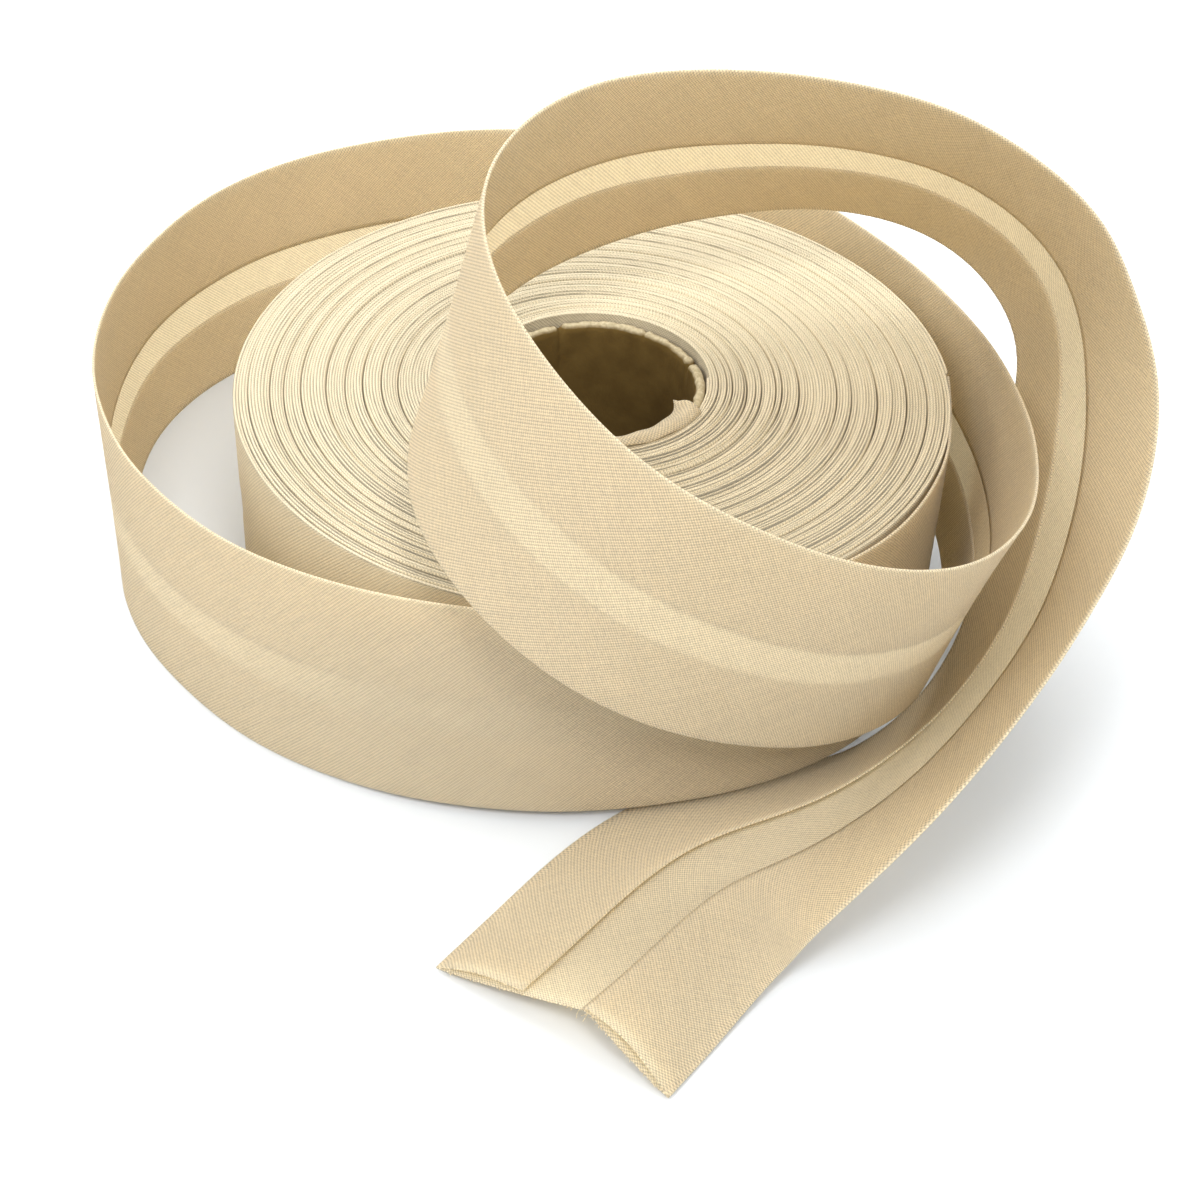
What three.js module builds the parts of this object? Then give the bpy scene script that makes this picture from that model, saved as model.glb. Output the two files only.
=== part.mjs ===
// A roll of single-fold bias binding, standing on its edge faces: the wound
// roll on a card tube, the tape's inner end over the tube's rim, and the loose
// end, which leaves the roll at the front, loops once round it, climbs over
// itself in an arch and comes down to lie on the table.
// Millimetres, +Z up. The roll's axis is the Z axis until the last lines.
import * as THREE from "three";

// Driving dimensions
const tapeWidth = 30;          // folded width of the binding
const rollRadius = 44.7;       // outside of the wound turns
const rollHeight = tapeWidth;  // the turns stand on their folded edges
const tubeInnerRadius = 12.5;  // card tube, 25 mm inside
const tubeWall = 1.5;
const touch = 0.3;             // gap kept between pieces that touch

// The folded tape: a base layer and two flanges folded on to its inner face
const layer = 0.6;                         // one layer of cloth
const slit = 0.3;                          // air between base and flange
const foldedThickness = 2 * layer + slit;
const wideFlange = 13.4;                   // along the upper, outer edge
const narrowFlange = 11.3;                 // along the lower, inner edge

const cloth = new THREE.MeshStandardMaterial({ color: 0xdcc7a4, roughness: 0.9, metalness: 0 });
const woundCloth = new THREE.MeshStandardMaterial({ color: 0xe2d0b0, roughness: 0.92, metalness: 0 });
const card = new THREE.MeshStandardMaterial({ color: 0x8d7a5c, roughness: 0.95, metalness: 0 });

// Builds a closed mesh from equal rings of points; open runs get end caps.
function skin(rings, closedRun) {
  const count = rings[0].length;
  const positions = rings.flat().flatMap((point) => [point.x, point.y, point.z]);
  const faces = [];
  const runs = closedRun ? rings.length : rings.length - 1;
  for (let i = 0; i < runs; i += 1) {
    const here = i * count;
    const next = ((i + 1) % rings.length) * count;
    for (let j = 0; j < count; j += 1) {
      const k = (j + 1) % count;
      faces.push(here + j, here + k, next + k, here + j, next + k, next + j);
    }
  }
  const geometry = new THREE.BufferGeometry();
  geometry.setAttribute("position", new THREE.Float32BufferAttribute(positions, 3));
  geometry.setIndex(faces);
  return geometry;
}

// Closes both ends of an open run with triangles cut from the flat section.
function addEnds(geometry, outline, ringCount) {
  const flat = outline.map(([across, inward]) => new THREE.Vector2(across, inward));
  const cuts = THREE.ShapeUtils.triangulateShape(flat, []);
  const faces = Array.from(geometry.index.array);
  const last = (ringCount - 1) * outline.length;
  for (const [a, b, c] of cuts) {
    faces.push(a, c, b);
    faces.push(last + a, last + b, last + c);
  }
  geometry.setIndex(faces);
  return geometry;
}

// A natural cubic spline through evenly numbered values.
function smoothThrough(values) {
  const last = values.length - 1;
  const bend = new Array(last + 1).fill(0);
  const share = new Array(last + 1).fill(0);
  for (let i = 1; i < last; i += 1) {
    const pull = 6 * (values[i + 1] - 2 * values[i] + values[i - 1]);
    const pivot = 4 - share[i - 1];
    share[i] = 1 / pivot;
    bend[i] = (pull - bend[i - 1]) / pivot;
  }
  for (let i = last - 1; i > 0; i -= 1) {
    bend[i] -= share[i] * bend[i + 1];
  }
  return (place) => {
    const i = Math.min(Math.floor(place), last - 1);
    const right = place - i;
    const left = 1 - right;
    const sag = ((left ** 3 - left) * bend[i] + (right ** 3 - right) * bend[i + 1]) / 6;
    return left * values[i] + right * values[i + 1] + sag;
  };
}

// Where the loose tape runs, a row every 20 mm or so. x, y and z are the middle
// of the tape's outer face; lean is how far its upper edge tips away from the
// roll, in degrees (90 lies flat, inner face up); tent is how high the tape
// stands up in a ridge along the edge of its wide flange.
const looseTape = [
  // x, y, z, lean, tent
  // off the roll and round the front, over the tail that lies below
  [34.2, -33.2, 18.0, -1, 0],
  [15.0, -45.0, 17.6, 0, 0],
  [-9.5, -47.0, 16.6, -1, 0],
  // loop A, standing on the table
  [-34.0, -39.5, 15.6, -1, 0],
  [-51.0, -25.0, 15.2, 0, 0],
  [-60.0, -9.0, 15.1, 0, 0],
  [-62.5, 8.0, 15.1, 2, 0],
  [-60.5, 26.0, 15.1, -1, 0],
  [-50.0, 44.0, 15.1, 1, 0],
  [-31.0, 56.5, 15.1, 2, 0],
  [-9.0, 61.0, 15.1, 1, 0],
  [13.0, 54.5, 15.2, 1, 0],
  [32.0, 39.5, 15.6, 3, 0],
  // close to the roll on the right, then up and out as loop B
  [44.5, 18.5, 17.2, 3, 0],
  [48.5, -7.5, 20.5, 10, 0],
  [44.0, -36.0, 26.0, 17, 0],
  [28.0, -56.0, 34.5, 16, 0],
  [5.0, -61.0, 46.5, 1, 0],
  // over the roll as an arch
  [-11.5, -49.0, 56.5, -15, 0],
  [-14.5, -30.0, 62.0, -14, 0],
  [-4.5, -11.0, 63.5, -18, 0],
  [15.0, 2.0, 61.5, -28, 0],
  [37.5, 9.0, 56.0, -37, 0],
  [54.5, 6.0, 46.0, -22, 0],
  // down on the right, turning over to lie flat
  [59.0, -6.5, 33.0, 27, 0],
  [52.8, -27.3, 18.2, 38, 0],
  [38.3, -45.0, 9.6, 51, 0],
  // the tail on the table
  [16.8, -59.5, 3.2, 81, 1],
  [3.0, -72.5, 0.6, 90, 5],
  [-2.5, -78.5, 0.6, 90, 7],
];
const stepsPerRow = 5;
const cutSkew = 5;      // the cut end is off square by this much
const cutReach = 14;    // how far back from the cut the skew is felt
const ridgePlace = 0.65; // where the tent's ridge stands, as a share of the width

// The folded section, as [across, inward] points, anticlockwise. Across runs
// from the lower, narrow-flange edge to the upper, wide-flange edge.
function foldedSection() {
  const half = tapeWidth / 2;
  const fold = 0.4;
  const top = foldedThickness;
  const under = layer + slit;
  const narrowEdge = -half + narrowFlange;
  const wideEdge = half - wideFlange;
  const low = (narrowEdge - half) / 2;
  const high = (wideEdge + half) / 2;
  const crease = half - 0.7;
  return [
    [-half + fold, 0], [low, 0], [narrowEdge, 0], [wideEdge, 0], [high, 0], [half - fold, 0],
    [half, fold], [half, top - fold], [half - fold, top],
    [high, top], [wideEdge, top], [wideEdge, under], [high, under], [crease, under],
    [crease, layer], [high, layer], [wideEdge, layer], [narrowEdge, layer], [low, layer], [-crease, layer],
    [-crease, under], [low, under], [narrowEdge, under], [narrowEdge, top], [low, top],
    [-half + fold, top], [-half, top - fold], [-half, fold],
  ];
}

// How high the tented tape stands at a place across its width, from 0 to 1.
function tentShape(across) {
  const share = across / tapeWidth + 0.5;
  const rise = Math.min(share / ridgePlace, (1 - share) / (1 - ridgePlace));
  return Math.max(rise, 0) ** 1.15;
}

// Sweeps the folded section along the table's rows.
function makeLooseTape() {
  const columns = [0, 1, 2, 3, 4].map((c) => smoothThrough(looseTape.map((row) => row[c])));
  const count = (looseTape.length - 1) * stepsPerRow + 1;
  const section = foldedSection();
  const up = new THREE.Vector3(0, 0, 1);
  const middles = [];
  for (let i = 0; i < count; i += 1) {
    const place = i / stepsPerRow;
    middles.push(new THREE.Vector3(...columns.slice(0, 3).map((column) => column(place))));
  }
  const end = middles[count - 1];
  const rings = middles.map((middle, i) => {
    const before = middles[Math.max(i - 1, 0)];
    const after = middles[Math.min(i + 1, count - 1)];
    const along = new THREE.Vector3().subVectors(after, before).normalize();
    const upright = up.clone().addScaledVector(along, -up.dot(along)).normalize();
    const outward = new THREE.Vector3().crossVectors(upright, along);
    const lean = THREE.MathUtils.degToRad(columns[3](i / stepsPerRow));
    const across = upright.clone().multiplyScalar(Math.cos(lean)).addScaledVector(outward, Math.sin(lean));
    const inward = new THREE.Vector3().crossVectors(along, across);
    const tent = Math.max(columns[4](i / stepsPerRow), 0);
    const nearCut = Math.max(1 - middle.distanceTo(end) / cutReach, 0);
    return section.map(([u, n]) => middle.clone()
      .addScaledVector(across, u)
      .addScaledVector(inward, n + tent * tentShape(u))
      .addScaledVector(along, -cutSkew * nearCut * u / tapeWidth));
  });
  return addEnds(skin(rings, false), section, count);
}

// Revolves a profile that may change with the angle, clockwise from above.
function turned(profileAt, count) {
  const rings = [];
  for (let i = 0; i < count; i += 1) {
    const angle = -2 * Math.PI * i / count;
    rings.push(profileAt(angle).map(([radius, height]) => (
      new THREE.Vector3(radius * Math.cos(angle), radius * Math.sin(angle), height))));
  }
  return skin(rings, true);
}

// The main bands of turns, a row each: where the band starts, and how far its
// folded edges stand above or below the roll's height.
const turnBands = [
  // radius, rise
  [14.4, -0.3],
  [17.2, 0.1],
  [19.6, -0.2],
  [22.8, 0.3],
  [26.2, 0.0],
  [29.0, 0.4],
  [32.4, 0.1],
  [35.2, 0.4],
  [38.6, 0.0],
  [41.6, 0.2],
];
const grooveDepth = 0.5;

// The wound turns: flat below, with bands of folded edges on top.
function makeWoundRoll() {
  const profileAt = (angle) => {
    const outer = rollRadius + 0.15 * Math.sin(2 * angle + 0.6) - 0.15;
    const points = [[turnBands[0][0], 0], [outer - 1.2, 0], [outer, 1.2], [outer, rollHeight - 0.6]];
    for (let i = turnBands.length - 1; i >= 0; i -= 1) {
      const [start, rise] = turnBands[i];
      const stop = i < turnBands.length - 1 ? turnBands[i + 1][0] : outer;
      const top = rollHeight + rise + 0.12 * Math.sin(angle * 2 + i * 1.7);
      const shoulder = (stop - start) * 0.22;
      points.push([stop - shoulder, top], [start + shoulder, top]);
      if (i > 0) {
        points.push([start, top - grooveDepth]);
      }
    }
    points.push([turnBands[0][0], rollHeight + turnBands[0][1] - grooveDepth]);
    return points;
  };
  return turned(profileAt, 80);
}

// The card tube, with a slightly ragged upper rim.
function makeTube() {
  const outer = tubeInnerRadius + tubeWall;
  const profileAt = (angle) => {
    const rim = rollHeight - 0.7 + 0.12 * Math.sin(5 * angle) + 0.08 * Math.sin(11 * angle + 1);
    return [[tubeInnerRadius, 0], [outer, 0], [outer, rim - 0.15], [tubeInnerRadius + 0.2, rim]];
  };
  return turned(profileAt, 64);
}

// The tape's inner end, a scrap of cloth that lies over the rim at the front.
function makeInnerEnd() {
  const from = THREE.MathUtils.degToRad(-38);
  const to = THREE.MathUtils.degToRad(-112);
  const steps = 14;
  const rest = rollHeight - 0.45 + touch;
  const rings = [];
  const section = [[11.6, rest + 0.2], [12.7, rest], [14.0, rest], [14.0, rest + 0.9], [12.9, rest + 1.0], [11.6, rest + 1.1]];
  for (let i = 0; i <= steps; i += 1) {
    const angle = from + (to - from) * i / steps;
    rings.push(section.map(([radius, height]) => (
      new THREE.Vector3(radius * Math.cos(angle), radius * Math.sin(angle), height))));
  }
  return addEnds(skin(rings, false), section, steps + 1);
}

function named(name, geometry, material) {
  geometry.computeVertexNormals();
  const mesh = new THREE.Mesh(geometry, material);
  mesh.name = name;
  return mesh;
}

const roll = new THREE.Group();
roll.add(named("card_tube", makeTube(), card));
roll.add(named("wound_roll", makeWoundRoll(), woundCloth));
roll.add(named("inner_end", makeInnerEnd(), cloth));
roll.add(named("loose_tape", makeLooseTape(), cloth));

// The origin is the middle of the whole part's outline, on the table.
const bounds = new THREE.Box3().setFromObject(roll);
roll.position.set(-(bounds.min.x + bounds.max.x) / 2, -(bounds.min.y + bounds.max.y) / 2, -bounds.min.z);

const part = new THREE.Group();
part.add(roll);
export default part;
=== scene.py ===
# %% [markdown]
# A roll of folded bias binding. The tape is one long strip of plain-weave cotton
# cut on the bias, pressed with a flange folded in along each side, and wound on
# a card tube. Its loose end loops once round the roll, climbs over it in an arch
# and lies on the table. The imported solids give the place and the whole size; the
# cells below dress them with real cloth, folds, turns and card.

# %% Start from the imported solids
import math

import bpy
import numpy as np
from mathutils import Matrix, Vector


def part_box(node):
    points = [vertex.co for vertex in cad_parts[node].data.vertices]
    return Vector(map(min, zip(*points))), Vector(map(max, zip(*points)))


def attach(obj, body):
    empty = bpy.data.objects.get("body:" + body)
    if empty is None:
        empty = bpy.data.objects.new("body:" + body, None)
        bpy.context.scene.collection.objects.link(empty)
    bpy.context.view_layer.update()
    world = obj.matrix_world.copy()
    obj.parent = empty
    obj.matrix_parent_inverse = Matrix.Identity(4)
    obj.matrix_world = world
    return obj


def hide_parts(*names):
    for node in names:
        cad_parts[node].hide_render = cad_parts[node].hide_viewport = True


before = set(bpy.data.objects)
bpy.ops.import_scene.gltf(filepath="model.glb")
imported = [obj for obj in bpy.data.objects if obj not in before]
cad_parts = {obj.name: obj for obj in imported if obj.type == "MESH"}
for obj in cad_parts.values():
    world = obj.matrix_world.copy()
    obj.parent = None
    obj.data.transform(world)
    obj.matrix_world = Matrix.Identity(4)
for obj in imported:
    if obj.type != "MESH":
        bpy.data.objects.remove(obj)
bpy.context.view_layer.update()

MM = 0.001

# %% [markdown]
# The binding's sizes. The roll's axis is the tube's, so it is read from the
# frame, and everything below is drawn in millimetres round that axis and moved
# on to it at the end. The flanges are not alike: the upper one is the wider, and
# between their raw edges a strip of the base shows as a single layer.

# %% The binding's sizes, in millimetres
tube_low, tube_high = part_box("card_tube")
roll_low, roll_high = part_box("wound_roll")
roll_axis = (tube_low + tube_high) / 2

tape_width = 30.0
narrow_flange = 11.3
wide_flange = 13.4
cloth_thickness = 0.17
layer_gap = 0.19
roll_radius = 44.6
roll_height = tape_width
tube_inner = 12.5
tube_outer = 14.0
print("axis at", [round(v / MM, 1) for v in roll_axis[:2]], "mm")
print("the roll's solid is", [round(v / MM) for v in roll_high - roll_low], "mm")

# %% [markdown]
# Small helpers. A piece is built from arrays of points and faces, and carries an
# attribute called cloth_mm: how far along and across the flat cloth each point
# lies. The weave is drawn from that attribute, so the threads follow every bend
# of the tape as real threads do, which a texture laid over the scene could not.

# %% Helpers that make a piece from points
def grid_faces(rows, columns, closed=False):
    """Quads between neighbouring rows; closed joins the last row to the first."""
    row = np.arange(rows if closed else rows - 1)[:, None]
    column = np.arange(columns - 1)[None, :]
    here = row * columns + column
    there = ((row + 1) % rows) * columns + column
    return np.stack([here, here + 1, there + 1, there], -1).reshape(-1, 4)


def make_piece(name, points_mm, faces, cloth_mm=None):
    """A mesh object whose points are given in millimetres round the roll's axis."""
    points = np.asarray(points_mm, float).reshape(-1, 3) * MM
    points[:, 0] += roll_axis.x
    points[:, 1] += roll_axis.y
    mesh = bpy.data.meshes.new(name)
    mesh.from_pydata(points.tolist(), [], [tuple(int(i) for i in face) for face in faces])
    mesh.polygons.foreach_set("use_smooth", [True] * len(mesh.polygons))
    if cloth_mm is not None:
        layer = mesh.attributes.new("cloth_mm", "FLOAT_VECTOR", "POINT")
        layer.data.foreach_set("vector", np.asarray(cloth_mm, float).ravel())
    mesh.update()
    piece = bpy.data.objects.new(name, mesh)
    bpy.context.scene.collection.objects.link(piece)
    return piece


def ripple(x, y, waves):
    """A smooth unevenness: a sum of waves, each with its height, radians along x and y, and shift."""
    return sum(height * np.sin(x * along + y * across + shift) for height, along, across, shift in waves)


print("a grid of 3 by 3 points has", len(grid_faces(3, 3)), "faces")

# %% [markdown]
# The way of the loose tape. Each row is a place on the middle of the tape's
# outer face, with how far the upper edge leans away from the roll (90 lies flat)
# and how high the tape stands up in a ridge beside its wide flange. A natural
# cubic spline runs through the rows. A cloth simulation could drape a tape too,
# but this one stands on its edge and keeps the set of the roll, so a path that is
# set row by row against the photograph holds its loops better.

# %% The rows of the loose tape, as in the solids but for the tail's last few
loose_rows = [
    # x, y, z, lean, tent
    # off the roll and round the front, over the tail that lies below
    (34.2, -33.2, 18.0, -1, 0),
    (15.0, -45.0, 17.6, 0, 0),
    (-9.5, -47.0, 16.6, -1, 0),
    # loop A, standing on the table
    (-34.0, -39.5, 15.6, -1, 0),
    (-51.0, -25.0, 15.2, 0, 0),
    (-60.0, -9.0, 15.1, 0, 0),
    (-62.5, 8.0, 15.1, 2, 0),
    (-60.5, 26.0, 15.1, -1, 0),
    (-50.0, 44.0, 15.1, 1, 0),
    (-31.0, 56.5, 15.1, 2, 0),
    (-9.0, 61.0, 15.1, 1, 0),
    (13.0, 54.5, 15.2, 1, 0),
    (32.0, 39.5, 15.6, 3, 0),
    # close to the roll on the right, then up and out as loop B
    (44.5, 18.5, 17.2, 3, 0),
    (48.5, -7.5, 20.5, 10, 0),
    (44.0, -36.0, 26.0, 17, 0),
    (28.0, -56.0, 34.5, 16, 0),
    (5.0, -61.0, 46.5, 1, 0),
    # over the roll as an arch
    (-11.5, -49.0, 56.5, -15, 0),
    (-14.5, -30.0, 62.0, -14, 0),
    (-4.5, -11.0, 63.5, -18, 0),
    (15.0, 2.0, 61.5, -28, 0),
    (37.5, 9.0, 56.0, -37, 0),
    (54.5, 6.0, 46.0, -22, 0),
    # down on the right, turning over to lie flat
    (59.0, -6.5, 33.0, 27, 0),
    (52.8, -27.3, 18.2, 38, 0),
    (38.3, -45.0, 9.6, 51, 0),
    # the tail on the table
    (25.2, -52.2, 3.8, 76, 1.0),
    (14.2, -58.2, 1.3, 87, 2.8),
    (4.6, -70.0, 0.6, 90, 4.8),
    (-1.7, -78.9, 0.6, 90, 6.6),
]
# the last turn of the roll, from which the loose end runs on
lead_rows = [
    (44.5, 4.0, 15.0, 0, 0),
    (42.9, -12.5, 15.3, 0, 0),
]
tape_rows = np.array(lead_rows + loose_rows, float)


def smooth_through(rows, places):
    """A natural cubic spline through the rows, read at the given places."""
    count = len(rows)
    matrix = np.eye(count)
    pull = np.zeros_like(rows)
    for i in range(1, count - 1):
        matrix[i, i - 1:i + 2] = (1, 4, 1)
        pull[i] = 6 * (rows[i + 1] - 2 * rows[i] + rows[i - 1])
    bend = np.linalg.solve(matrix, pull)
    i = np.minimum(places.astype(int), count - 2)
    right = (places - i)[:, None]
    left = 1 - right
    sag = ((left ** 3 - left) * bend[i] + (right ** 3 - right) * bend[i + 1]) / 6
    return left * rows[i] + right * rows[i + 1] + sag


tape_step = 1.5
measuring_steps = 4000


def even_places(rows, step_mm):
    """Places along the rows that lie an even distance apart, and how far along they are."""
    fine = np.linspace(0, len(rows) - 1, measuring_steps)
    points = smooth_through(rows, fine)[:, :3]
    reach = np.concatenate([[0], np.cumsum(np.linalg.norm(np.diff(points, axis=0), axis=1))])
    count = int(round(reach[-1] / step_mm)) + 1
    along = np.linspace(0, reach[-1], count)
    return np.interp(along, reach, fine), along


tape_places, tape_along = even_places(tape_rows, tape_step)
print("loose tape is", round(tape_along[-1]), "mm long in", len(tape_places), "steps")

# %% [markdown]
# At every step the tape needs three directions: along itself, across its width
# and inwards, to the side its flanges are folded on. The lean turns the width
# from upright to flat. A curve object could carry the section too, but its twist
# is harder to steer than a lean that is given row by row.

# %% Directions along the loose tape
tape_path = smooth_through(tape_rows, tape_places)
tape_middle = tape_path[:, :3]
tape_lean = np.radians(tape_path[:, 3])[:, None]
tape_tent = np.maximum(tape_path[:, 4], 0)

tape_forward = np.gradient(tape_middle, axis=0)
tape_forward /= np.linalg.norm(tape_forward, axis=1)[:, None]
upright = np.array([0, 0, 1.0]) - tape_forward * tape_forward[:, 2:3]
upright /= np.linalg.norm(upright, axis=1)[:, None]
outward = np.cross(upright, tape_forward)
tape_across = np.cos(tape_lean) * upright + np.sin(tape_lean) * outward
tape_inward = np.cross(tape_forward, tape_across)
print("directions found at", len(tape_forward), "steps")

# %% [markdown]
# The folded section. Walking across the cut cloth, one meets the raw edge of the
# narrow flange, a fold, the base, the other fold and the raw edge of the wide
# flange. The section is a list of where each thread lies across and inwards. On
# the loops the raw edges were pressed down, so a flange bends to the base over
# its last millimetre or two. At the tail the narrow flange's raw edge stands up
# instead, and near the cut both flanges spring open, each in a low arc.

# %% The folded section
half_width = tape_width / 2
fold_radius = layer_gap / 2
base_edge = half_width - fold_radius
base_steps = 30
flange_steps = 16
fold_steps = 6
arc_lean = 0.9
arc_roundness = 1.2
lifted_bend = 3
pressed_bend = 10


def flange_side(width, spring, edge_lift):
    """How far from the fold and how far inwards the flange lies, from the fold to the raw edge."""
    share = np.linspace(0, 1, flange_steps + 1)[1:]
    arc = spring * np.sin(math.pi * share ** arc_lean) ** arc_roundness
    rise = arc + edge_lift * share ** (lifted_bend if edge_lift > 0 else pressed_bend)
    return share * width, layer_gap + rise


def folded_section(narrow, wide, spring_narrow, spring_wide, lift_narrow, lift_wide):
    """Rows of across, inward and place on the flat cloth, in millimetres."""
    fold = np.linspace(0, math.pi, fold_steps + 1)[1:-1]
    away, inward = flange_side(narrow, spring_narrow, lift_narrow)
    rows = [(-base_edge + a, n, -half_width - a) for a, n in zip(away, inward)][::-1]
    for turn in fold:
        rows.append((
            -base_edge - fold_radius * math.sin(turn), fold_radius + fold_radius * math.cos(turn),
            -half_width - fold_radius * (math.pi - turn)))
    rows += [(u, 0, u) for u in np.linspace(-base_edge, base_edge, base_steps + 1)]
    for turn in fold:
        rows.append((
            base_edge + fold_radius * math.sin(turn), fold_radius - fold_radius * math.cos(turn),
            half_width + fold_radius * turn))
    away, inward = flange_side(wide, spring_wide, lift_wide)
    rows += [(base_edge - a, n, half_width + a) for a, n in zip(away, inward)]
    return np.array(rows)


section_size = len(folded_section(narrow_flange, wide_flange, 0, 0, 0, 0))
print("the folded section has", section_size, "points")

# %% [markdown]
# Sweeping the section gives the whole tape as one sheet, and a solidify modifier
# gives it the thickness of the cloth. The extra terms are what handling leaves:
# a ripple of less than a tenth of a millimetre, the crease behind the roll where
# the tape was bent, the tent at the tail and the slanted cut.

# %% The loose tape
tape_length = tape_along[-1]
tent_ridge = 0.65
tent_steepness = 1.15
cut_skew = 1.6
cut_reach = 14.0
spring_reach = 22.0
spring_growth = 1.5
narrow_spring = 1.1
wide_spring = 1.9
tail_from = tape_length - 110
tail_change = 60
tail_narrowing = 2.4
edge_pressed = -0.14
edge_lifted = 0.65
cloth_waves = [
    # height, radians along and across, shift
    (0.05, 0.13, 0.10, 0.4),
    (0.03, 0.31, -0.22, 1.9),
]
kink_place = np.array([32.2, 41.9])
kink_depth = 0.9
kink_reach = 6.0
kink_along = tape_along[np.argmin(np.linalg.norm(tape_middle[:, :2] - kink_place, axis=1))]


def tent_shape(across):
    """How high the tented tape stands across its width, from 0 to 1."""
    share = across / tape_width + 0.5
    rise = np.minimum(share / tent_ridge, (1 - share) / (1 - tent_ridge))
    return np.maximum(rise, 0) ** tent_steepness


def sweep_tape():
    """Points and flat places of the loose tape, a row for each step."""
    points = []
    flat = []
    for i, along in enumerate(tape_along):
        near_cut = max(1 - (tape_length - along) / cut_reach, 0)
        sprung = max(1 - (tape_length - along) / spring_reach, 0) ** spring_growth
        flat_tail = min(max((along - tail_from) / tail_change, 0), 1)
        section = folded_section(
            narrow_flange, wide_flange - tail_narrowing * flat_tail,
            narrow_spring * sprung, wide_spring * sprung,
            edge_pressed + edge_lifted * flat_tail, edge_pressed)
        u, n, v = section.T
        kink = kink_depth * math.exp(-abs(along - kink_along) / kink_reach)
        inward = n + tape_tent[i] * tent_shape(u) + ripple(along, u, cloth_waves) - kink
        forward = -cut_skew * near_cut * u / tape_width
        points.append(
            tape_middle[i] + np.outer(u, tape_across[i]) + np.outer(inward, tape_inward[i])
            + np.outer(forward, tape_forward[i]))
        flat.append(np.stack([along + forward, v, np.zeros_like(v)], 1))
    return np.array(points), np.array(flat)


tape_points, tape_flat = sweep_tape()
loose_tape = make_piece(
    "loose_tape_cloth", tape_points, grid_faces(len(tape_along), section_size), tape_flat.reshape(-1, 3))
thicken = loose_tape.modifiers.new("cloth thickness", "SOLIDIFY")
thicken.thickness = cloth_thickness * MM
thicken.offset = 0
thicken.use_even_offset = False
print("loose tape mesh has", len(loose_tape.data.polygons), "faces")

# %% [markdown]
# The cut end is raw. Short thread ends stand out along it, each at 45 degrees to
# the tape as the threads of bias-cut cloth do, with longer tufts where each
# flange's raw edge meets the cut and at the tent's ridge. Hair curves could draw
# them, but only mesh goes into an exported model, so each thread end is a thin
# bent rod of mesh.

# %% Thread ends at the cut
thread_radius = 0.055
thread_count = 150
thread_overlap = 0.3
tuft_reach = 0.7
thread_slants = (0.6, 1.2)
thread_lengths = (0.12, 0.32)
tuft_lengths = (0.3, 1.3)
thread_curl = 0.35
ridge_share = 0.6
ridge_across = (tent_ridge - 0.5) * tape_width
rng = np.random.default_rng(7)


def add_rod(points, faces, path, radius):
    """Adds a four-sided rod that follows a path and thins towards its end."""
    path = np.array(path)
    start = len(points)
    count = len(path)
    for k, place in enumerate(path):
        step = path[min(k + 1, count - 1)] - path[max(k - 1, 0)]
        step = step / np.linalg.norm(step)
        side = np.cross(step, (0.3, 0.1, 0.95))
        side /= np.linalg.norm(side)
        lift = np.cross(side, step)
        thin = radius * (1 - 0.5 * k / (count - 1))
        points += [place + thin * side, place + thin * lift, place - thin * side, place - thin * lift]
    for k in range(count - 1):
        for a in range(4):
            b = (a + 1) % 4
            faces.append((start + 4 * k + a, start + 4 * k + b, start + 4 * k + 4 + b, start + 4 * k + 4 + a))
    faces.append((start + 3, start + 2, start + 1, start))
    end = start + 4 * count - 4
    faces.append((end, end + 1, end + 2, end + 3))


def fray_cut():
    """Points and faces of the thread ends, with tufts at the raw corners and at the tent's ridge."""
    points = []
    faces = []
    edge = tape_points[-1]
    row_flat = tape_flat[-1, :, 1]
    along = tape_forward[-1]
    narrow_corner = -half_width - narrow_flange
    wide_corner = half_width + wide_flange
    for _ in range(thread_count):
        v = rng.uniform(row_flat.min(), row_flat.max())
        near = min(abs(v - narrow_corner), abs(v - wide_corner), abs(v - ridge_across) * ridge_share)
        tuft = math.exp(-near / tuft_reach)
        start = np.array([np.interp(v, row_flat, edge[:, a]) for a in range(3)])
        nearby = np.array([np.interp(v + thread_overlap, row_flat, edge[:, a]) for a in range(3)])
        across = (nearby - start) / np.linalg.norm(nearby - start)
        way = along + rng.choice((-1, 1)) * across * rng.uniform(*thread_slants)
        way /= np.linalg.norm(way)
        length = rng.uniform(*thread_lengths) + tuft * rng.uniform(*tuft_lengths)
        curl = rng.normal(0, thread_curl, 3) * length * (0.4 + tuft)
        path = [start + way * length * t + curl * t * t for t in np.linspace(-thread_overlap, 1, 5)]
        for place in path:
            place[2] = max(place[2], thread_radius + 0.02)
        add_rod(points, faces, path, thread_radius)
    return points, faces


fray_points, fray_faces = fray_cut()
fray_flat = [(p[0], p[1], 0) for p in fray_points]
fray = make_piece("cut_threads", fray_points, fray_faces, fray_flat)
print("thread ends have", len(fray.data.polygons), "faces")

# %% [markdown]
# The wound turns. Each turn shows its folded edge on top, a rounded ridge about
# a third of a millimetre wide, so the top of the roll is a fine spiral of some
# eighty ridges with dark gaps where the winding is slack. The ridges are real
# mesh: a grid that follows the spiral, with a few points to a turn. A ring for
# each turn would be simpler, but rings don't run on into one another.

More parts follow.
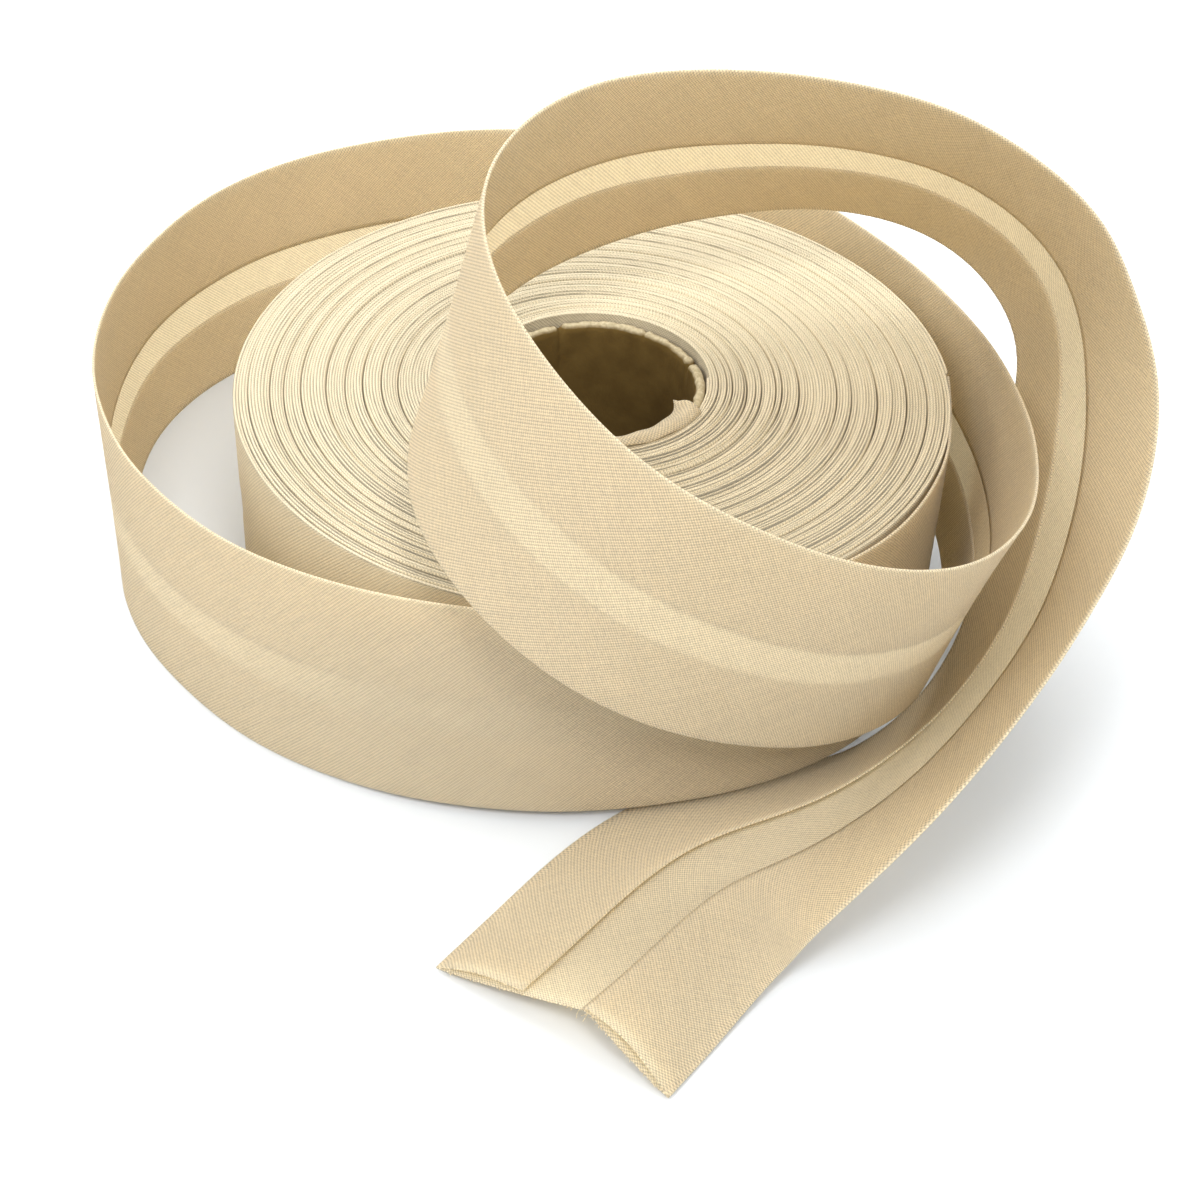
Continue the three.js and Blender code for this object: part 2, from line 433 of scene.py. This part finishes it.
# %% The spiral of turns
turn_count = 84
first_radius = 14.4
turn_pitch = (roll_radius - first_radius) / turn_count
leaving_angle = math.radians(4)
angle_steps = 240
ridge_cloth = 0.6
groove_depth = 0.17
groove_unevenness = 0.6
groove_beats = (231, 68.7)
# how much painted shade a tight gap between two turns gets
tight_gap_painted_shade = 0.5
shoulder_drop = 0.25
radius_waver = 0.10
turn_shape = [
    # share of the turn, drop below its crest
    (0.00, 1.0),
    (0.22, 0.14),
    (0.50, 0.0),
    (0.78, 0.14),
]
crest_waves = [
    # height, radians for each turn and round the roll, shift
    (0.12, 0.83, 0, 0),
    (0.08, 2.1, 0, 1.0),
    (0.12, 0.31, 1, 0),
    (0.05, 1.3, 3, 0),
]
print("a turn every", round(turn_pitch, 3), "mm, with", len(turn_shape), "points across it")

# %% [markdown]
# A wound roll isn't even. At some turns the tape was fed slack, and the gap before
# the next turn is deep and dark for a part of the way round. The gaps are listed
# where they show: which turn, how deep, and where it opens most.

# %% The slack turns
slack_turns = [
    # turn, extra depth, where round the roll it opens most, in radians
    (3, 1.0, 1.2), (6, 0.9, 0.9), (9, 1.0, 5.9), (12, 0.9, 1.0), (14, 1.0, 6.0), (17, 0.7, 5.4),
    (19, 0.9, 5.6), (23, 1.1, 0.6), (26, 0.9, 5.9), (28, 0.8, 3.4), (32, 1.2, 6.1), (34, 0.7, 3.5),
    (40, 1.0, 3.2), (44, 0.9, 0.3), (46, 0.6, 3.4), (50, 0.7, 5.6), (53, 0.8, 3.5), (58, 1.3, 0.1),
    (61, 0.7, 3.4), (64, 0.8, 4.9), (67, 0.6, 3.4), (69, 1.2, 5.9), (72, 0.7, 3.6), (74, 0.6, 4.6),
    (76, 1.0, 5.4), (79, 0.8, 4.4), (82, 0.9, 5.0),
]
slack_reach = 0.16
slack_widening = 0.14
slack_steepness = 1.3


def slack_depth(wound):
    """How much deeper the gap is after so many turns, where the winding is slack."""
    depth = np.zeros_like(wound)
    for turn, extra, where in slack_turns:
        middle = turn + (leaving_angle - where) / (2 * math.pi) % 1
        away = np.abs(wound - middle) / (slack_reach + slack_widening * extra)
        depth = depth + extra * np.clip(slack_steepness * (1 - away), 0, 1)
    return depth


print(len(slack_turns), "of", turn_count, "turns have a slack stretch")

# %% [markdown]
# The top of the roll is then a grid. A row stands for one place across one turn,
# all the way round, and each row lies one step further out than the row before.
# The grid carries its place on the flat cloth, and how deep in a gap it lies, so
# that the material can paint shade into the gaps.

# %% Wind the turns
def wind_turns():
    """The top of the roll as columns round the spiral, inner edge first, and their flat places."""
    clockwise = np.linspace(0, 2 * math.pi, angle_steps, endpoint=False)
    part = clockwise / (2 * math.pi)
    angle = leaving_angle - clockwise
    rows = []
    flat = []
    for turn in range(turn_count + 1):
        for share, drop in turn_shape:
            if turn == turn_count and share > 0:
                break
            wound = turn + part
            radius = first_radius + turn_pitch * (turn + share + part - 1)
            radius = radius + radius_waver * np.sin(radius * 0.9 + 2 * clockwise) * np.sin(clockwise / 2) ** 2
            # past its crest, a turn falls towards the gap that follows it
            past_crest = share > 0.5
            slack = slack_depth(wound + past_crest)
            uneven = 1 + groove_unevenness * np.sin(wound * groove_beats[0]) * np.sin(wound * groove_beats[1])
            depth = groove_depth * uneven + slack
            shoulder = shoulder_drop * (0 < drop < 1) * slack
            height = roll_height + ripple(wound, angle, crest_waves) - (drop + shoulder) * depth
            rows.append(np.stack([radius * np.cos(angle), radius * np.sin(angle), height], 1))
            along = 2 * math.pi * (first_radius * wound + turn_pitch * wound ** 2 / 2)
            across = tape_width / 2 + share * ridge_cloth + 0 * along
            # how much shade is painted into the gap here, from the turn's drop and how slack it is
            painted_gap_darkness = drop * np.minimum(tight_gap_painted_shade + slack, 1)
            flat.append(np.stack([along, across, painted_gap_darkness], 1))
    return np.array(rows).transpose(1, 0, 2), np.array(flat).transpose(1, 0, 2)


turn_columns, turn_flat = wind_turns()
print("turns have", turn_columns.shape[0] * turn_columns.shape[1], "points")

# %% [markdown]
# The roll is closed into one solid: the top's last column joins its first one
# turn further out, and rings go down the outside, under the roll and up inside.
# An open sheet would look the same from above, but a closed mesh can be exported
# and printed.

# %% Close the roll into one solid
wall_levels = [
    # height, share of the radius: the outer turn's own folds and flange edges
    (29.5, 1.0), (28.6, 1.001), (26, 1.0012), (19, 1.001), (18, 0.999), (13, 0.9985), (11.5, 1.0005),
    (6, 1.001), (1.2, 1.0005), (0.3, 0.998), (0.0, 0.992)]
bore_levels = [(28.0, 1.0), (20, 1.0), (10, 1.0), (0.0, 1.0)]


def close_roll(columns, flat_columns):
    """Points, faces and the place of each point on the flat cloth, for the whole roll."""
    steps, width = columns.shape[:2]
    step = len(turn_shape)
    last = (steps - 1) * width
    points = columns.reshape(-1, 3).tolist()
    flat = flat_columns.reshape(-1, 3).tolist()
    faces = [tuple(face[::-1]) for face in grid_faces(steps, width)]
    faces += [(j + step, j + 1 + step, last + j + 1, last + j) for j in range(width - 1 - step)]
    inner = [i * width for i in range(steps)] + list(range(step, 0, -1))
    outer = [i * width + width - 1 for i in range(steps)]
    outer += [last + width - 1 - k for k in range(1, step + 1)]
    count = len(outer)
    ends = []
    for loop, levels, towards in ((outer, wall_levels, 1), (inner, bore_levels, -1)):
        before = loop
        for level, pull in levels:
            ring = []
            for index in loop:
                x, y = points[index][:2]
                ring.append(len(points))
                points.append([x * pull, y * pull, level])
                flat.append([flat[index][0], level - tape_width / 2, 0])
            for k in range(count):
                m = (k + 1) % count
                faces.append((before[k], before[m], ring[m], ring[k])[::towards])
            before = ring
        ends.append(before)
    under, over = ends
    faces += [(under[k], under[(k + 1) % count], over[(k + 1) % count], over[k]) for k in range(count)]
    return points, faces, flat


roll_points, roll_faces, roll_flat = close_roll(turn_columns, turn_flat)
turns = make_piece("wound_turns", roll_points, roll_faces, roll_flat)
print("turns mesh has", len(turns.data.polygons), "faces")

# %% [markdown]
# The card tube. Its rim was cut, so it is a little ragged, with a few nicks, and
# the board overlaps itself along a seam inside. It stands just below the turns.
# A bored cylinder would be quicker, but a profile that is drawn again at every
# degree lets the rim be uneven.

# %% The card tube
tube_steps = 360
rim_height = 29.3
rim_nicks = [
    # angle and half width in degrees, depth across the rim and down
    (111, 2.5, 0.35, 0.5),
    (23.6, 2.2, 0.45, 0.6),
    (-21, 4.0, 0.3, 0.4),
    (150, 2.0, 0.2, 0.4),
    (62, 1.6, 0.18, 0.3),
]
rag_waves = [
    # height, waves round the rim and up it, shift, for how ragged the rim is
    (0.07, 9, 0, 1),
    (0.05, 23, 0, 2),
    (0.04, 51, 0, 0),
]
sag_waves = [
    # the same, for how high the rim stands
    (0.10, 5, 0, 1),
    (0.06, 31, 0, 0),
    (0.04, 67, 0, 1),
]
seam_angle = 112.0
seam_step = 0.176
seam_reach = 40.0


def tube_profile(angle):
    """The wall at an angle in degrees: radius and height, up the inside and down the outside."""
    turn = math.radians(angle)
    rag = ripple(turn, 0, rag_waves)
    sag = ripple(turn, 0, sag_waves)
    for at, half, across, down in rim_nicks:
        away = abs((angle - at + 180) % 360 - 180) / half
        if away < 1:
            rag += across * (1 - away)
            sag -= down * (1 - away) ** 0.7
    after_seam = (seam_angle - angle) % 360
    inside = tube_inner + seam_step * math.exp(-after_seam / seam_reach)
    top = rim_height + sag
    return [
        # up the inside
        (inside, 0.2), (inside, 8.0), (inside, 16.0), (inside + 0.05, 24.0), (inside + 0.1, top - 1.2),
        # over the rim
        (inside + 0.16 + rag, top - 0.35), (inside + 0.42 + rag, top), (13.3 + rag * 0.4, top + 0.08),
        (13.75, top - 0.05), (tube_outer - 0.03, top - 0.4),
        # down the outside
        (tube_outer, 20.0), (tube_outer, 0.2)]


tube_angles = np.linspace(0, 360, tube_steps, endpoint=False)
tube_points = []
for angle in tube_angles:
    for radius, height in tube_profile(angle):
        turn = math.radians(angle)
        tube_points.append((radius * math.cos(turn), radius * math.sin(turn), height))
tube_width = len(tube_profile(0))
tube_faces = [tuple(face[::-1]) for face in grid_faces(tube_steps, tube_width, closed=True)]
for i in range(tube_steps):
    here = i * tube_width
    there = (i + 1) % tube_steps * tube_width
    tube_faces.append((here, here + tube_width - 1, there + tube_width - 1, there))
tube = make_piece("tube_card", tube_points, tube_faces)
print("tube mesh has", len(tube.data.polygons), "faces")

# %% [markdown]
# The tape's inner end. It was laid over the rim before winding began, so a strip
# of cloth with a torn corner shows across the front of the rim. It could run on
# from the turns, but a small sheet of its own is simpler to place.

# %% The inner end
scrap_from = -26.0
scrap_to = -125.0
scrap_length = 24.0
scrap_reach = 3.1
scrap_taper = 0.5
scrap_radius = 14.7
scrap_height = 30.2
scrap_crown = 0.55
scrap_droop = 0.6
torn_share = 0.03
torn_lean = 3.4
torn_reach = 0.9
torn_lift = 0.5
scrap_steps = 70
scrap_width = 11
scrap_points = []
scrap_flat = []
for i in range(scrap_steps + 1):
    part = i / scrap_steps
    torn = math.exp(-part / torn_share)
    reach = scrap_reach - scrap_taper * part + torn_reach * torn
    for k in range(scrap_width):
        share = k / (scrap_width - 1)
        angle = math.radians(scrap_from + torn_lean * share * torn + (scrap_to - scrap_from) * part)
        radius = scrap_radius - reach * share
        crown = scrap_crown * math.sin(math.pi * min(share * 1.25, 1))
        height = scrap_height + crown - scrap_droop * share ** 2
        height += 0.10 * math.sin(part * 31 + share * 3) + torn_lift * torn * share
        scrap_points.append((radius * math.cos(angle), radius * math.sin(angle), height))
        scrap_flat.append((part * scrap_length, share * reach, 0))
scrap = make_piece("inner_end_cloth", scrap_points, grid_faces(scrap_steps + 1, scrap_width), scrap_flat)
thicken = scrap.modifiers.new("cloth thickness", "SOLIDIFY")
thicken.thickness = cloth_thickness * MM
thicken.offset = 0
print("inner end mesh has", len(scrap.data.polygons), "faces")

# %% [markdown]
# The looks are drawn with nodes alone, so they need no picture files and stay
# sharp from any distance. Four small helpers keep the node trees short enough to
# read: an empty material, a sum, a mix of colours and a stretched noise.

# %% Helpers for the looks
def new_material(name):
    """An empty node material, with its node tree and its output node."""
    material = bpy.data.materials.new(name)
    material.use_nodes = True
    tree = material.node_tree
    tree.nodes.clear()
    output = tree.nodes.new("ShaderNodeOutputMaterial")
    return material, tree, output


def math_node(tree, operation, first, second=None):
    """A math node joined to sockets or given numbers."""
    node = tree.nodes.new("ShaderNodeMath")
    node.operation = operation
    for socket, value in zip(node.inputs, (first, second)):
        if isinstance(value, (int, float)):
            socket.default_value = value
        elif value is not None:
            tree.links.new(value, socket)
    return node.outputs[0]


def mix_colours(tree, amount, first, second, blend="MIX"):
    """A mix of two colours, each a colour or a socket."""
    node = tree.nodes.new("ShaderNodeMix")
    node.data_type = "RGBA"
    node.blend_type = blend
    for socket, value in ((node.inputs[0], amount), (node.inputs[6], first), (node.inputs[7], second)):
        if isinstance(value, (int, float)):
            socket.default_value = value
        elif isinstance(value, tuple):
            socket.default_value = (*value, 1.0)
        else:
            tree.links.new(value, socket)
    return node.outputs[2]


def stretched_noise(tree, vector, scale, detail=2.0):
    """Noise read at a place that may be scaled differently each way, for slubs and specks."""
    mapping = tree.nodes.new("ShaderNodeMapping")
    mapping.inputs["Scale"].default_value = scale
    tree.links.new(vector, mapping.inputs["Vector"])
    noise = tree.nodes.new("ShaderNodeTexNoise")
    noise.inputs["Scale"].default_value = 1.0
    noise.inputs["Detail"].default_value = detail
    tree.links.new(mapping.outputs[0], noise.inputs["Vector"])
    return noise.outputs[0]


look_helpers = (new_material, math_node, mix_colours, stretched_noise)
print("helpers made:", ", ".join(helper.__name__ for helper in look_helpers))

# %% [markdown]
# A plain weave cut on the bias runs at 45 degrees to the tape, so the flat place
# is turned by 45 degrees and scaled to the two thread spacings. A warp thread
# stands up where it passes over a weft thread and sinks where it passes under,
# and the higher of the two gives the surface.

# %% The weave
warp_spacing = 0.34
weft_spacing = 0.26
crossing = 0.6
weave_scale = 0.625


def weave(tree):
    """Sockets for the weave's height, 0 to about 1, for the place in threads and for the depth in a gap,
    which sets the painted shade in the wound tape's gaps.
    """
    place = tree.nodes.new("ShaderNodeAttribute")
    place.attribute_name = "cloth_mm"
    threads = tree.nodes.new("ShaderNodeMapping")
    threads.vector_type = "TEXTURE"
    threads.inputs["Rotation"].default_value = (0, 0, math.radians(45))
    threads.inputs["Scale"].default_value = (warp_spacing, weft_spacing, 1)
    tree.links.new(place.outputs["Vector"], threads.inputs["Vector"])
    split = tree.nodes.new("ShaderNodeSeparateXYZ")
    tree.links.new(threads.outputs[0], split.inputs[0])
    warp_wave = math_node(tree, "SINE", math_node(tree, "MULTIPLY", split.outputs[0], math.pi))
    weft_wave = math_node(tree, "SINE", math_node(tree, "MULTIPLY", split.outputs[1], math.pi))
    over = math_node(tree, "MULTIPLY", math_node(tree, "MULTIPLY", warp_wave, weft_wave), crossing)
    warp = math_node(tree, "ADD", math_node(tree, "ABSOLUTE", warp_wave), over)
    weft = math_node(tree, "SUBTRACT", math_node(tree, "ABSOLUTE", weft_wave), over)
    height = math_node(tree, "MULTIPLY", math_node(tree, "MAXIMUM", warp, weft), weave_scale)
    flat_place = tree.nodes.new("ShaderNodeSeparateXYZ")
    tree.links.new(place.outputs["Vector"], flat_place.inputs[0])
    return height, threads.outputs[0], flat_place.outputs[2]


print("threads to a centimetre:", round(10 / weft_spacing), "by", round(10 / warp_spacing))

# %% [markdown]
# The cloth's colour is the cotton's, with slubs along the threads and soft knots,
# and with painted shade between the threads. Some light comes through cloth this
# thin, which is why the single strip between the flanges looks lighter than the
# double cloth beside it. The wound tape is many layers deep, so there no light
# passes, and shade is painted into its gaps by how deep they lie. The thin cloth's
# colour is paler, as it stands for one layer and light is lost on its way through.

# %% The cloth
thin_cotton = (0.97, 0.885, 0.71)
piled_cotton = (0.69, 0.60, 0.43)
light_passed = 0.62
lowest_shade = 0.29
# how much lighter the thread tops are than the pits between them: painted shade between the threads
weave_painted_shade = 0.56
slub_shade = 0.22
knot_shade = 0.30
# how dark the painted shade in the wound tape's gaps is
painted_gap_shade = 0.85
slub_relief = 0.6


def cloth_material(name, colour, see_through):
    """Plain-weave cotton; see_through is the share of light that passes through."""
    material, tree, output = new_material(name)
    height, threads, depth = weave(tree)
    slub_warp = stretched_noise(tree, threads, (0.9, 0.03, 1))
    slub_weft = stretched_noise(tree, threads, (0.03, 0.9, 1))
    slub = math_node(tree, "MULTIPLY", math_node(tree, "ADD", slub_warp, slub_weft), 0.5)
    knots = stretched_noise(tree, threads, (0.8, 0.8, 1), 3.0)
    # the weave's height gives painted shade between the threads; the slubs and knots are the cotton's own
    # tone
    tone_and_painted_shade = math_node(tree, "MULTIPLY", height, weave_painted_shade)
    tone_and_painted_shade = math_node(tree, "ADD", tone_and_painted_shade, math_node(tree, "MULTIPLY", slub, slub_shade))
    tone_and_painted_shade = math_node(tree, "ADD", tone_and_painted_shade, math_node(tree, "MULTIPLY", knots, knot_shade))
    tone_and_painted_shade = math_node(tree, "ADD", tone_and_painted_shade, lowest_shade)
    # on the wound tape, shade is painted into the gaps by how deep they lie, less on the thread tops
    if see_through == 0:
        covered = math_node(tree, "SUBTRACT", 1.0, math_node(tree, "MULTIPLY", height, 0.5))
        painted_gap_darkness = math_node(tree, "MULTIPLY", math_node(tree, "MULTIPLY", depth, covered), painted_gap_shade)
        tone_and_painted_shade = math_node(tree, "MULTIPLY", tone_and_painted_shade, math_node(tree, "SUBTRACT", 1.0, painted_gap_darkness))
    lit = mix_colours(tree, 1.0, colour, tone_and_painted_shade, "MULTIPLY")
    bump = tree.nodes.new("ShaderNodeBump")
    bump.inputs["Strength"].default_value = 0.9
    bump.inputs["Distance"].default_value = 0.00006
    relief = math_node(tree, "ADD", height, math_node(tree, "MULTIPLY", slub, slub_relief))
    tree.links.new(relief, bump.inputs["Height"])
    surface = tree.nodes.new("ShaderNodeBsdfPrincipled")
    surface.inputs["Roughness"].default_value = 0.85
    surface.inputs["Specular IOR Level"].default_value = 0.25
    surface.inputs["Sheen Weight"].default_value = 0.15
    surface.inputs["Sheen Roughness"].default_value = 0.5
    tree.links.new(lit, surface.inputs["Base Color"])
    tree.links.new(bump.outputs[0], surface.inputs["Normal"])
    if see_through == 0:
        tree.links.new(surface.outputs[0], output.inputs["Surface"])
        return material
    passed = tree.nodes.new("ShaderNodeBsdfTranslucent")
    tree.links.new(lit, passed.inputs["Color"])
    tree.links.new(bump.outputs[0], passed.inputs["Normal"])
    mix = tree.nodes.new("ShaderNodeMixShader")
    mix.inputs[0].default_value = see_through
    tree.links.new(surface.outputs[0], mix.inputs[1])
    tree.links.new(passed.outputs[0], mix.inputs[2])
    tree.links.new(mix.outputs[0], output.inputs["Surface"])
    return material


loose_cloth = cloth_material("binding cloth", thin_cotton, light_passed)
wound_cloth = cloth_material("binding cloth wound", piled_cotton, 0)
print("cloth made:", loose_cloth.name, "and", wound_cloth.name)

# %% [markdown]
# The tube is grey-brown board, mottled on its wall, which is painted dark for the
# shade inside the tube, and paler on the cut rim where its fibres show. The rim
# could have a material of its own, but the height of a point tells it from the
# wall just as well.

# %% The card, and a material for every piece
rim_depth = 0.45
rim_fade = 0.4


def card_material():
    """Grey-brown board: paler on the cut rim, mottled, and painted dark below the rim for the shade inside
    the tube.
    """
    material, tree, output = new_material("card")
    place = tree.nodes.new("ShaderNodeTexCoord")
    blotch = stretched_noise(tree, place.outputs["Object"], (350, 350, 350), 4.0)
    speck = stretched_noise(tree, place.outputs["Object"], (2600, 2600, 2600), 2.0)
    split = tree.nodes.new("ShaderNodeSeparateXYZ")
    tree.links.new(place.outputs["Object"], split.inputs[0])
    rise = math_node(tree, "SUBTRACT", split.outputs[2], (rim_height - rim_depth) * MM)
    rim = tree.nodes.new("ShaderNodeClamp")
    tree.links.new(math_node(tree, "MULTIPLY", rise, 1 / (rim_fade * MM)), rim.inputs["Value"])
    # the wall's colour is painted shade: the board is painted far darker than it is, as the inside of the
    # tube lies in shade
    inside = mix_colours(tree, blotch, (0.10, 0.06, 0.016), (0.21, 0.14, 0.045))
    edge = mix_colours(tree, speck, (0.26, 0.21, 0.12), (0.62, 0.54, 0.38))
    colour = mix_colours(tree, rim.outputs[0], inside, edge)
    bump = tree.nodes.new("ShaderNodeBump")
    bump.inputs["Strength"].default_value = 0.6
    bump.inputs["Distance"].default_value = 0.0001
    tree.links.new(math_node(tree, "ADD", blotch, speck), bump.inputs["Height"])
    surface = tree.nodes.new("ShaderNodeBsdfPrincipled")
    surface.inputs["Roughness"].default_value = 0.9
    surface.inputs["Specular IOR Level"].default_value = 0.2
    tree.links.new(colour, surface.inputs["Base Color"])
    tree.links.new(bump.outputs[0], surface.inputs["Normal"])
    tree.links.new(surface.outputs[0], output.inputs["Surface"])
    return material


card = card_material()
loose_tape.data.materials.append(loose_cloth)
scrap.data.materials.append(loose_cloth)
fray.data.materials.append(loose_cloth)
turns.data.materials.append(wound_cloth)
tube.data.materials.append(card)
print("card made:", card.name)

# %% [markdown]
# Every piece rides on the one body, and stands for the solid that it dresses,
# which is hidden. The thread ends ride on the body too.

# %% Tie the pieces to the solids
for piece, node, slot in (
        (loose_tape, "loose_tape", "binding"), (turns, "wound_roll", "binding"),
        (scrap, "inner_end", "binding"), (tube, "card_tube", "card")):
    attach(piece, "root")
    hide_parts(node)
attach(fray, "root")

# %% [markdown]
# The photograph was taken on a white sheet, in soft light from several sides. A
# pale floor far wider than the roll does the same here.

# %% The floor
floor_mesh = bpy.data.meshes.new("floor")
floor_reach = 4.0
floor_corners = [(x * floor_reach, y * floor_reach, 0) for x, y in ((-1, -1), (1, -1), (1, 1), (-1, 1))]
floor_mesh.from_pydata(floor_corners, [], [(0, 1, 2, 3)])
floor = bpy.data.objects.new("floor", floor_mesh)
bpy.context.scene.collection.objects.link(floor)
floor_material, tree, output = new_material("floor")
paper = tree.nodes.new("ShaderNodeBsdfPrincipled")
paper.inputs["Base Color"].default_value = (0.66, 0.68, 0.70, 1)
paper.inputs["Roughness"].default_value = 0.8
paper.inputs["Specular IOR Level"].default_value = 0.2
tree.links.new(paper.outputs[0], output.inputs["Surface"])
floor_mesh.materials.append(floor_material)
print("floor reaches", floor_reach, "m each way")

# %% [markdown]
# Five soft lamps and a pale surround light the roll. The small front lamp throws
# the arch's shadow on the turns, the large back lamp shines through the loops,
# and the others fill in. One big lamp would be simpler, but with five the fronts,
# the insides and the shadow can be set apart. A gamma a little under one deepens
# the middle tones.

# %% Light and surround
lamp_aim = Vector((0, 0, 0.03))


def add_lamp(name, place, size, power):
    """A square area lamp that points at the roll."""
    lamp = bpy.data.lights.new(name, "AREA")
    lamp.size = size
    lamp.energy = power
    lamp_object = bpy.data.objects.new(name, lamp)
    lamp_object.location = place
    lamp_object.rotation_euler = (lamp_aim - Vector(place)).to_track_quat("-Z", "Y").to_euler()
    bpy.context.scene.collection.objects.link(lamp_object)


add_lamp("front lamp", (0.16, -0.57, 0.73), 0.18, 3.4)
add_lamp("front left lamp", (-0.35, -0.5, 0.73), 0.3, 2.8)
add_lamp("top lamp", (0.0, 0.1, 1.2), 0.7, 5.6)
add_lamp("back lamp", (-0.25, 0.95, 0.57), 0.7, 8.5)
add_lamp("left lamp", (-0.9, 0.0, 0.6), 0.6, 3.2)
world = bpy.data.worlds.new("surround")
world.use_nodes = True
surround = world.node_tree.nodes["Background"]
surround.inputs["Color"].default_value = (0.97, 0.99, 1.0, 1)
surround.inputs["Strength"].default_value = 0.82
bpy.context.scene.world = world
bpy.context.scene.view_settings.view_transform = "Standard"
bpy.context.scene.view_settings.gamma = 0.87
print(len(bpy.data.lights), "lamps and the surround are in place")

# %% [markdown]
# The camera was worked out from the roll's round rims and the tape's edges: where
# it stands, how far it looks down, and how far it is tipped to one side. Its
# focal length is a share of the picture's width, so it holds at any size.

# %% The camera
camera_place = (1.838, -235.09, 195.47)
camera_down = math.radians(40.634)
camera_tip = math.radians(2.267)
focal_share = 2301.64 / 1200
sensor_width = 36

forward = Vector((0, math.cos(camera_down), -math.sin(camera_down)))
level = Vector((1, 0, 0))
above = level.cross(forward)
right = math.cos(camera_tip) * level + math.sin(camera_tip) * above
upward = -math.sin(camera_tip) * level + math.cos(camera_tip) * above
camera_data = bpy.data.cameras.new("camera")
camera_data.sensor_fit = "HORIZONTAL"
camera_data.sensor_width = sensor_width
camera_data.lens = sensor_width * focal_share
camera_data.clip_start = 0.01
camera = bpy.data.objects.new("camera", camera_data)
pose = Matrix((right, upward, -forward)).transposed().to_4x4()
pose.translation = Vector(camera_place) * MM + Vector((roll_axis.x, roll_axis.y, 0))
camera.matrix_world = pose
bpy.context.scene.collection.objects.link(camera)
bpy.context.scene.camera = camera
print("lens", round(camera_data.lens, 2), "mm")
